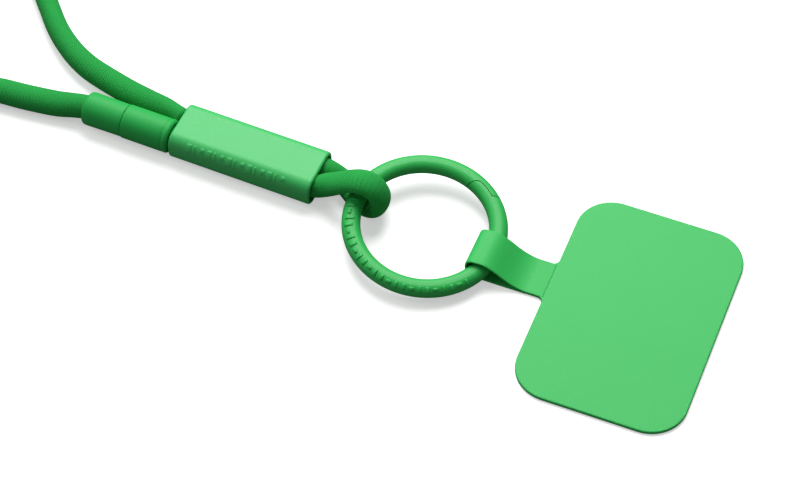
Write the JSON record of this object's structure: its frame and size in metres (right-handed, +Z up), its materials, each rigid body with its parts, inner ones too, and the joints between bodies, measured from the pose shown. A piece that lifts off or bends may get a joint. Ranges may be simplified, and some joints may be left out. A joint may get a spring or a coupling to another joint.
{
  "type": "lanyard",
  "caption": "Phone lanyard: round neck cord, flat keeper sleeve, tube joiner, spring-gate ring and a thin phone-case patch on a folded strap.",
  "frame": {"origin": "on the table, at the centre of the lanyard's box without its neck cord", "axes": "+X from the neck cord towards the patch, +Z up from the table"},
  "size_m": [0.2828, 0.0878, 0.0133],
  "materials": {
    "cord": "braided polyester, matte",
    "keeper": "matte green, fine even grain",
    "joiner": "matte green, fine even grain",
    "ring": "satin green coating",
    "patch": "matte green sheet",
    "brass": "plain turned",
    "steel": "plain drawn"
  },
  "bodies": {
    "cords": {"ring_cord": "cord", "neck_cord_upper": "cord", "neck_cord_lower": "cord", "neck_coil": "cord", "joiner_ring_half": "joiner", "joiner_neck_half": "joiner", "joiner_nipple": "brass", "ring_end_ferrule": "brass", "neck_end_ferrule": "brass"},
    "keeper": {"keeper_sleeve": "keeper"},
    "ring": {"ring_body": "ring", "gate_pin": "steel", "gate_spring": "steel"},
    "gate": {"ring_gate": "ring"},
    "plunger": {"gate_plunger": "steel"},
    "strap": {"strap_loop": "patch"},
    "patch": {"patch_base": "patch", "patch_face": "patch"}
  },
  "joints": [
    {"name": "keeper_slide", "type": "slide", "parent": "cords", "child": "keeper", "axis": [0.9994, -0.0349, 0], "range_m": [0, 0.004], "deforming": ["ring_cord"]},
    {"name": "ring_swing", "type": "hinge", "parent": "cords", "child": "ring", "pos_m": [-0.00867, 0.0074, 0.00575], "axis": [-0.2091, -0.9774, -0.0312], "range_deg": [0, 95], "deforming": ["ring_cord"]},
    {"name": "gate_swing", "type": "hinge", "parent": "ring", "child": "gate", "pos_m": [0.02583, 0.00475, 0.00309], "axis": [0.0731, -0.0475, 0.9962], "range_deg": [0, 22], "stiffness_Nm_per_rad": 0.02, "springref_deg": -11.46},
    {"name": "plunger_slide", "type": "slide", "parent": "ring", "child": "plunger", "axis": [-0.1491, -0.9882, -0.0361], "range_m": [0, 0.0007], "deforming": ["gate_spring"]},
    {"name": "strap_turn", "type": "hinge", "parent": "ring", "child": "strap", "pos_m": [0.0084, 0.0038, 0.00433], "axis": [0, 0, 1], "range_deg": [-35, 0]},
    {"name": "patch_fold", "type": "hinge", "parent": "strap", "child": "patch", "pos_m": [0.03645, 0.00185, 0.001], "axis": [0, -1, 0], "range_deg": [0, 100], "stiffness_Nm_per_rad": 0.0005}
  ],
  "couplings": [
    {"joint": "plunger_slide", "follows": "gate_swing", "m_per_rad": 0.00172}
  ]
}
